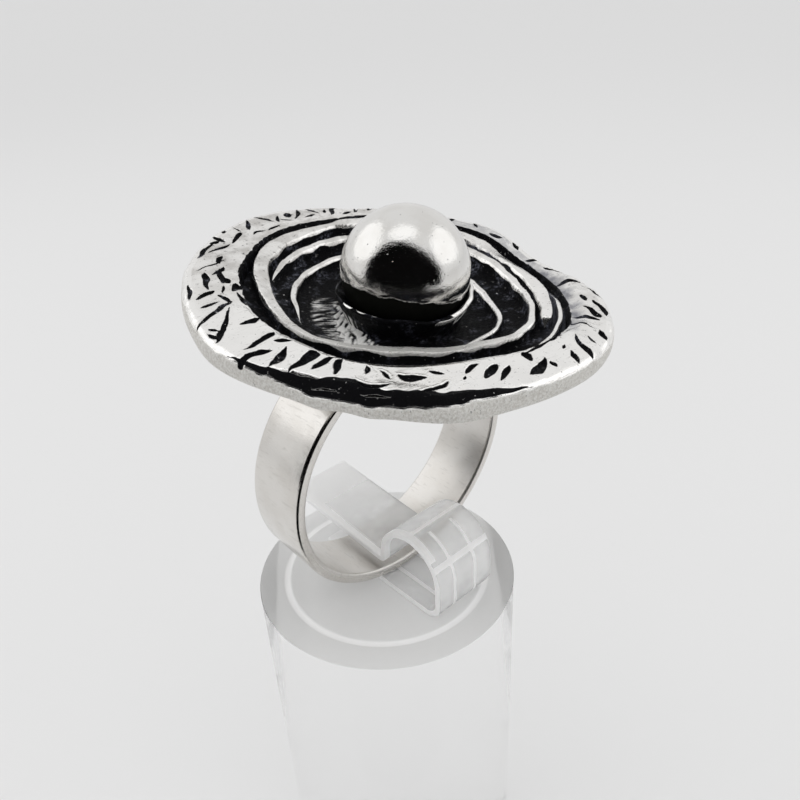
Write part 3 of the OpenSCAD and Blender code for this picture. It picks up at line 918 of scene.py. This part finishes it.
def make_brim():
    """The brim with its cuts, the rim and the outer part of the underside, closed behind its inner wall."""
    wall, top, edge, under = 4, 42, 24, 6
    rings = wall + top + edge + under + 1
    obj, angle, row = rolled_sheet("brim", 1200, rings)
    inner, outline, flat = brim_r(angle), outline_r(angle), BRIM_Z + lift_z(angle)
    on_wall = (row <= wall) | (row == rings)
    on_top = (row > wall) & (row <= wall + top)
    on_edge = (row > wall + top) & (row <= wall + top + edge)
    on_under = (row > wall + top + edge) & (row < rings)

    facet = between(angle, *FACET)
    step = np.clip(row - wall - top, 0, edge)
    plain_in, plain_drop = along_section(RIM_SECTION, edge)
    facet_in, facet_drop = along_section(FACET_SECTION, edge)
    drop = mix(plain_drop[step], facet_drop[step], facet)
    way_in = mix(plain_in[step], facet_in[step], facet)
    high = clamp01(1 - drop / (0.7 * RIM_T))
    sway = 0.13 * ripple(*polar(angle, outline), 2.6, 23) * mix(0.3, 1, facet)

    t_wall = np.where(row == rings, 0, row / wall)
    t_top = (row - wall) / top
    t_under = (row - wall - top - edge) / under
    foot = inner - RIB_FLANK
    shoulder = outline - RIM_SECTION[0][0] * RIM_T + sway
    regions = [on_top, on_edge, on_under]
    back = mix(outline - UNDER_IN, foot, t_under)
    reaches = [mix(inner, shoulder, t_top), outline - way_in + sway * high, back]
    radius = np.select(regions, reaches, mix(foot, inner, t_wall))
    x, y = polar(angle, radius)

    hammered = sum(depth * ripple(x, y, wave, seed) for depth, wave, seed in HAMMER_MARKS)
    hammered = hammered + 0.06 * window(angle, *BRIM_HAMMERED) * ripple(x, y, 2.0, 81)
    at_right = window(angle, *BRIM_TURNED)
    turn_w, turn_drop = mix(*TURN_W, at_right), mix(*TURN_DROP, at_right)
    turned = turn_drop * ease((turn_w - (radius - inner)) / turn_w)
    cut = inside_cuts(x, y) + 0.014 * ripple(x, y, 0.5, 15)
    cut = np.where(on_top | on_edge & (drop < 0.3 * RIM_T), cut, -1)
    burr = BURR_H * np.exp(-((cut + 0.07) / 0.05) ** 2)
    shown = flat - turned + burr - CUT_DEPTH * ease((cut + 0.02) / 0.14)
    for dent_angle, dent_r, long, wide, deep in DENTS:
        dent_x, dent_y = polar(angle - dent_angle, radius)
        shown = shown - deep * np.exp(-(dent_y / long) ** 2 - ((dent_x - dent_r) / wide) ** 2)
    heights = [shown + hammered * ease(t_top * 6), shown - drop + hammered * high, under_z(angle, radius)]
    z = np.select(regions, heights, mix(dish_z(angle, radius), flat - turn_drop, ease(t_wall)))
    set_corners(obj, np.stack([x, y, z], -1))

    bare = np.where(on_wall, (t_wall - 1) * RIB_FLANK, radius - inner)
    bare = np.where(on_edge | on_under, MARK_REACH, bare + 0.04 * ripple(x, y, 0.7, 43) - 0.03)
    # The black band: partly oxide, partly a painted dark reflection where the rim rolls down.
    band = np.array(OXIDE_AND_REFLECTION_BAND)
    over = 1.5 * np.where(on_edge, drop, 0) - (outline - radius) + 0.06 * ripple(x, y, 0.8, 48)
    over = over + 0.1 * ripple(x, y, 2.0, 49)
    band_from, band_to = [np.interp(angle, band[:, BAND_ANGLE], band[:, i]) for i in (BAND_FROM, BAND_TO)]
    black = np.minimum(over - band_from, band_to - over)
    # Painted highlights: thin bright lines cut out of the black band.
    for glint_angle, reach, place, sag in GLINTS:
        t = (angle - glint_angle) / reach
        near = GLINT_HALF * np.sqrt(clamp01(1 - t * t)) - np.abs(over - place - sag * t * t)
        black = np.where(np.abs(t) < 1, np.minimum(black, -near), black)
    bare = np.where(on_top | on_edge, np.minimum(bare, -black), bare)
    grain = np.where(on_edge, ease((over - band_to - 0.1) / 0.2) * ease((drop - 0.15) / 0.15), 0)
    worn = 0.12 + 0.75 * window(angle, *BRIM_WORN_FAR) + 0.4 * window(angle, *BRIM_WORN_RIGHT)
    smear = ease((1.0 + 0.35 * ripple(x, y, 1.6, 71) - (radius - inner)) / 0.9)
    smear = np.maximum(window(angle, *BRIM_SMOKED) * smear, 0.6 * window(angle, *BRIM_SMOKED_FAR))
    mark_cast(
        obj,
        bright=np.minimum(bare, -cut),
        grain=np.where(on_under, 1, grain),
        worn=np.where(black > -0.1, 0, np.where(on_top, worn, 0.15)),
        smoke=np.where(on_top, 0.85 * smear, 0),
    )
    merge(obj)
    return settled(obj, HEAD)


def make_collar():
    """The cup round the ball, with its torn lip and the loose wire on its right."""
    foot = FLOOR_Z - CUP_SUNK
    heights = np.linspace(foot, CUP_TOP_Z, 22)
    profile = [(CUP_R - CUP_DRAW * min(1, (CUP_TOP_Z - z) / (CUP_TOP_Z - FLOOR_Z)), z) for z in heights]
    turns = np.radians(np.linspace(-20, 190, 8))
    profile += [(CUP_R - 0.05 + 0.11 * math.cos(t), CUP_TOP_Z + 0.11 + 0.14 * math.sin(t)) for t in turns]
    seat_r = BALL_R + BALL_GAP
    inner = np.linspace(CUP_TOP_Z - 0.1, foot, 6)
    profile += [(math.sqrt(seat_r ** 2 - (BALL_Z - z) ** 2), z) for z in inner]
    obj = lathe("collar", profile, 300)

    x, y, z = corners(obj).T
    angle, radius = np.degrees(np.arctan2(y, x)) % 360, np.hypot(x, y)
    climb = LIP_CLIMB * window(angle, *LIP_HIGH)
    upper = ease((z - CUP_TOP_Z + 1.0) / 1.0)
    uneven = ripple(x, y, 2.2, 17)
    lip_z = CUP_TOP_Z + LIP_H + climb
    z = z + climb * upper + 0.06 * upper * uneven
    wire = window(angle, *WIRE) * np.exp(-((z - lip_z + WIRE_DROP) / WIRE_HALF) ** 4)
    sagging = z - lip_z + LOOP_DROP + 0.08 * uneven
    loop = window(angle, *WIRE_LOOP) * np.exp(-(sagging / LOOP_HALF) ** 2)
    for middle in WIRE_RUNGS:
        rung = np.exp(-(apart(angle, middle) / 2.0) ** 2) * (z > lip_z - LOOP_DROP) * (z < lip_z - 0.2)
        loop = np.maximum(loop, rung)
    outside = radius > CUP_R - CUP_DRAW
    wire = np.where(outside, np.maximum(wire, 0.9 * loop), 0)
    push = 1 + (0.08 * wire + 0.05 * upper * ripple(x, y, 1.3, 19)) / CUP_R
    hidden = np.maximum(window(angle, *LIP_GONE), 0.8 * window(angle, *LIP_THIN))
    torn = 0.05 + 0.1 * window(angle, *LIP_TORN)
    shown = z - lip_z + LIP_BRIGHT_H - 0.5 * hidden + torn * (ripple(x, y, 0.8, 47) - 0.9)
    lines = ripple(np.radians(angle) * CUP_R, z * 0.3, 0.45, 61)
    scraped = window(angle, *CUP_SCRAPED) * ease((CUP_TOP_Z - 0.3 - z) / 0.5) * outside
    clear = np.sqrt(np.maximum((seat_r - 0.02) ** 2 - (BALL_Z - z) ** 2, 0))
    push = np.maximum(push, clear / radius)
    set_corners(obj, np.stack([x * push + BALL_OFF[0], y * push + BALL_OFF[1], z], -1))
    mark_cast(
        obj,
        bright=np.maximum(shown, 0.4 * (wire - 0.45)),
        grain=0.1 + 0.35 * clamp01(wire),
        worn=0.2,
        rubbed=np.maximum(scraped * clamp01(0.55 + 0.5 * lines), 0.75 * np.where(outside, loop, 0)),
    )
    return settled(obj, STAND_UP)


def make_ball():
    """The ball: bright above a ragged line and black below it, the line climbing higher towards the front."""
    rings = 180
    obj, angle, row = rolled_sheet("bead", 2 * rings, rings)
    down = np.pi * row / rings
    x, y = polar(angle, BALL_R * np.sin(down))
    z = BALL_R * np.cos(down)
    edge_z = BALL_EDGE_CLIMB * window(angle, *BALL_EDGE_RAISED) + BALL_EDGE_Z + 0.07 * ripple(x, y, 1.2, 51)
    bare = z - edge_z
    burr = 0.05 * np.exp(-((bare - 0.02) / 0.06) ** 2) * clamp01(0.6 + 0.6 * ripple(x, y, 0.9, 53))
    mark(obj, "bright", np.clip(bare, -0.8, 0.8))
    co = np.stack([x, y, z], -1) * (1 + (burr - 0.03 * (bare < -0.1)) / BALL_R)[:, None]
    set_corners(obj, co + np.array([*BALL_OFF, BALL_Z]))
    merge(obj)
    return settled(obj, STAND_UP)


def make_band():
    """The shank: a tube, given its thickness and rounded edges."""
    obj = start_piece(
        "band", bpy.ops.mesh.primitive_cylinder_add, vertices=ROUND_STEPS, radius=SHANK_R, depth=SHANK_W,
        end_fill_type="NOTHING", rotation=(math.radians(90), 0, 0)
    )
    give_wall(obj, SHANK_T, offset=-1)
    round_edges(obj, SHANK_ROUND, 5, 50)
    x, y, z = corners(obj).T
    mark(obj, "inside", np.hypot(x, z) < SHANK_R - SHANK_T / 2)
    return settled(obj, STAND_UP, sharp=30)


def clip_line():
    """The clip's middle line from its foot round the roll to its tongue, as places forward and up."""
    low = SHANK_R * math.cos(RING_TIP) + SHANK_W / 2 * math.sin(RING_TIP)
    foot_z = -low - CLIP_GAP - CLIP_T / 2
    roll_r = CLIP_ROLL_R - CLIP_T / 2
    roll_z = foot_z + roll_r
    edge_x = CLIP_W / 2 + CLIP_OFF
    tongue_z = CLIP_T / 2 + CLIP_GAP - math.sqrt(FINGER_R ** 2 - edge_x ** 2) * math.cos(RING_TIP)

    def tongue_at(y):
        return tongue_z + y * math.tan(RING_TIP)

    def bend_z(y):
        return tongue_at(y) + TONGUE_BEND_R / math.cos(RING_TIP)

    def arc(centre, r, start, end, steps):
        turns = [math.radians(mix(start, end, i / steps)) for i in range(1, steps + 1)]
        return [(centre[0] + r * math.cos(a), centre[1] + r * math.sin(a)) for a in turns]

    reach = roll_r + TONGUE_BEND_R
    drop = roll_z - bend_z(roll_r - CLIP_ROLL_Y)
    bend_y = math.sqrt(reach ** 2 - drop ** 2) - CLIP_ROLL_Y
    end = -math.degrees(math.asin(drop / reach))
    front_y = CLIP_BEND_R - CLIP_ROLL_Y - roll_r
    tip = math.degrees(RING_TIP)
    return [
        (FOOT_BACK, foot_z),
        (front_y, foot_z),
        *arc((front_y, foot_z + CLIP_BEND_R), CLIP_BEND_R, 270, 180, 10),
        *arc((-CLIP_ROLL_Y, roll_z), roll_r, 180, end, 48),
        *arc((bend_y, bend_z(bend_y)), TONGUE_BEND_R, end + 180, 270 + tip, 8),
        (TONGUE_BACK, tongue_at(TONGUE_BACK)),
    ]


def make_clip():
    """The clip: an edge as wide as the strip, extruded along its line and given its thickness."""
    line = clip_line()
    start = (CLIP_OFF, *line[0])
    obj = start_piece("clip_strip", bpy.ops.mesh.primitive_plane_add, size=CLIP_W, location=start)
    in_edit(obj)
    bpy.ops.transform.resize(value=(1, 0, 1), center_override=start)
    bpy.ops.mesh.remove_doubles()
    bpy.ops.mesh.subdivide(number_cuts=35)
    for (y0, z0), (y1, z1) in zip(line, line[1:]):
        bpy.ops.mesh.extrude_region_move(TRANSFORM_OT_translate={"value": (0, y1 - y0, z1 - z0)})
    out_of_edit()
    merge(obj, outwards=True)
    give_wall(obj, CLIP_T, offset=0, even=True)
    round_edges(obj, CLIP_ROUND, 3, 50)
    merge(obj, outwards=True)
    x, y, z = corners(obj).T
    # The clip's white sides, ends, lines and edge are painted highlights.
    sides = ease((np.abs(x - CLIP_OFF) - CLIP_W / 2 + 0.07) / 0.05)
    path = np.array(line)
    length = np.concatenate([[0], np.cumsum(np.hypot(*np.diff(path, axis=0).T))])
    gone = length[np.argmin(np.hypot(y[:, None] - path[:, 0], z[:, None] - path[:, 1]), axis=1)]
    ends = np.maximum(gone < 0.1, gone > length[-1] - 0.1)
    middle_stretch = (gone > CLIP_LINES_FROM) * (gone < CLIP_LINES_TO)
    highlight_lines = 0
    for place in CLIP_LINES_ALONG:
        near = CLIP_LINE_ALONG_HALF - np.abs(x - CLIP_OFF - place)
        highlight_lines = np.maximum(highlight_lines, ease(near / 0.1) * middle_stretch)
    for place in CLIP_LINES_ACROSS:
        near = CLIP_LINE_ACROSS_HALF - np.abs(gone - place)
        highlight_lines = np.maximum(highlight_lines, ease(near / 0.15))
    white_edge = ease((CLIP_WHITE_EDGE_W - (x - CLIP_OFF + CLIP_W / 2)) / 0.1) * (gone > CLIP_WHITE_EDGE_FROM)
    mark(obj, "painted_light", np.maximum.reduce([sides, ends, 0.9 * highlight_lines, 0.9 * white_edge]))
    return settled(obj, Matrix.Translation(RING_MID), sharp=30)


def make_post():
    """The post: a rod with a shallow bevel round its top and a fine line where the bevel starts."""
    radius = (post_high.x - post_low.x) / 2 / MM
    height = (post_high.z - post_low.z) / MM
    flat_r = radius - POST_BEVEL_W
    obj = start_piece(
        "post_rod", bpy.ops.mesh.primitive_cylinder_add, vertices=ROUND_STEPS, radius=radius, depth=height,
        location=(0, 0, height / 2)
    )
    in_edit(obj, "DESELECT")
    out_of_edit()
    lid = max(obj.data.polygons, key=lambda p: p.center.z)
    lid.select = True
    bpy.ops.object.mode_set(mode="EDIT")
    side = POST_LINE_W / 4
    for inset in (radius - POST_LINE_R - 2 * side, side, 2 * side, side, POST_LINE_R - 2 * side - flat_r):
        bpy.ops.mesh.inset(thickness=inset)
    out_of_edit()
    x, y, z = corners(obj).T
    r = np.hypot(x, y)
    bevel = POST_BEVEL_H * clamp01((r - flat_r) / POST_BEVEL_W)
    fall = bevel + POST_LINE_H * (np.abs(r - POST_LINE_R) < side + 0.02)
    set_corners(obj, np.stack([x, y, np.where(z > height - 0.01, z - fall, z)], -1))
    round_edges(obj, POST_ROUND, 4, 60)
    x, y, z = corners(obj).T
    r = np.hypot(x, y)
    on_lid = (z > height - POST_BEVEL_H - 0.08) & (r < radius - 0.02)
    # The grey top is painted shade for the floor seen through the rod; the line is a painted highlight.
    mark(obj, "painted_light", on_lid)
    mark(obj, "line", on_lid & (np.abs(r - POST_LINE_R) < side + 0.03))
    return settled(obj, Matrix.Identity(4), sharp=30)


def direction(azimuth, elevation):
    a, e = math.radians(azimuth), math.radians(elevation)
    return Vector((math.cos(a) * math.cos(e), math.sin(a) * math.cos(e), math.sin(e)))


def make_floor():
    floor = start_piece("floor", bpy.ops.mesh.primitive_plane_add, size=FLOOR_W, location=(0, 0, -FLOOR_DROP))
    floor.data.materials.append(plain("pale backdrop", PALE, 0.8, 0.1))


def make_dark_opening():
    """The dark opening that the silver mirrors: a fan of triangles from its middle to its edge."""
    opening = start_piece(
        "dark_opening", bpy.ops.mesh.primitive_circle_add, vertices=len(OPENING_EDGE), fill_type="TRIFAN"
    )
    rim = [BALL_MID + direction(*edge) * OPENING_AWAY for edge in OPENING_EDGE]
    co = corners(opening)
    hub = int(np.argmin(np.hypot(co[:, 0], co[:, 1])))
    order = np.argsort(-np.degrees(np.arctan2(co[:, 0], co[:, 1])) + 1000 * (np.arange(len(co)) == hub))
    for index, place in zip(order, rim):
        co[index] = place
    co[hub] = BALL_MID + direction(*OPENING_MID) * OPENING_AWAY
    set_corners(opening, co)
    mirrored_only(opening)


def mirrored_only(obj):
    """Dark cloth that shows in reflections and nowhere else."""
    obj.data.materials.append(plain("dark studio", DARK, 1.0, 0.0))
    obj.visible_camera = False
    obj.visible_diffuse = False
    obj.visible_transmission = False
    obj.visible_shadow = False


def make_dark_table():
    """The dark table top in front of the backdrop."""
    table = start_piece("dark_table", bpy.ops.mesh.primitive_circle_add, vertices=4, fill_type="NGON")
    set_corners(table, [(*polar(way, away), TABLE_UP) for way, away in TABLE_EDGE])
    mirrored_only(table)


def add_object(name, data):
    obj = bpy.data.objects.new(name, data)
    bpy.context.scene.collection.objects.link(obj)
    return obj


def make_lights():
    """Soft panels to the left, to the right and above, and an even light that no metal mirrors."""
    for name, (azimuth, elevation, away, wide, tall, glow) in PANELS.items():
        way = direction(azimuth, elevation)
        light = bpy.data.lights.new(name, "AREA")
        light.shape = "ELLIPSE"
        light.size = wide
        light.size_y = tall
        light.energy = glow * math.pi * wide * tall * math.pi / 4
        obj = add_object(name, light)
        obj.location = BALL_MID + way * away
        obj.rotation_euler = way.to_track_quat("Z", "Y").to_euler()
        obj.visible_camera = False

    fill = bpy.data.lights.new("fill", "SUN")
    fill.energy = FILL_GLOW
    fill.angle = FILL_SPREAD
    add_object("fill", fill).visible_glossy = False

    world = bpy.data.worlds.new("light tent")
    world.use_nodes = True
    world.node_tree.nodes["Background"].inputs["Color"].default_value = PALE
    bpy.context.scene.world = world
    bpy.context.scene.view_settings.view_transform = "Standard"


def make_camera():
    camera = bpy.data.cameras.new("camera")
    camera.sensor_width = CAMERA_SENSOR
    camera.lens = CAMERA_LENS
    camera.clip_start = MM
    right = Vector(CAMERA_RIGHT).normalized()
    back = -Vector(CAMERA_AHEAD).normalized()
    up = back.cross(right).normalized()
    right = up.cross(back)
    turned = Matrix((right, up, back)).transposed().to_4x4()
    obj = add_object("camera", camera)
    obj.matrix_world = Matrix.Translation(Vector(CAMERA_PLACE) * MM) @ turned
    bpy.context.scene.camera = obj


make_camera()
make_floor()
make_dark_opening()
make_dark_table()
make_lights()

cast = oxidised_silver()
for make in (make_brim, make_dish, make_collar):
    finish_piece(make(), cast, "ring_body")
finish_piece(make_band(), brushed_silver(), "ring_body")
finish_piece(make_ball(), satin_silver(), "ball")
for clear, material, slot, node in [
    (make_clip(), clear_strip(), "clear_plastic", "clip"),
    (make_post(), clear_rod(), "clear_acrylic", "post"),
]:
    finish_piece(clear, material, node)
    clear.visible_shadow = False
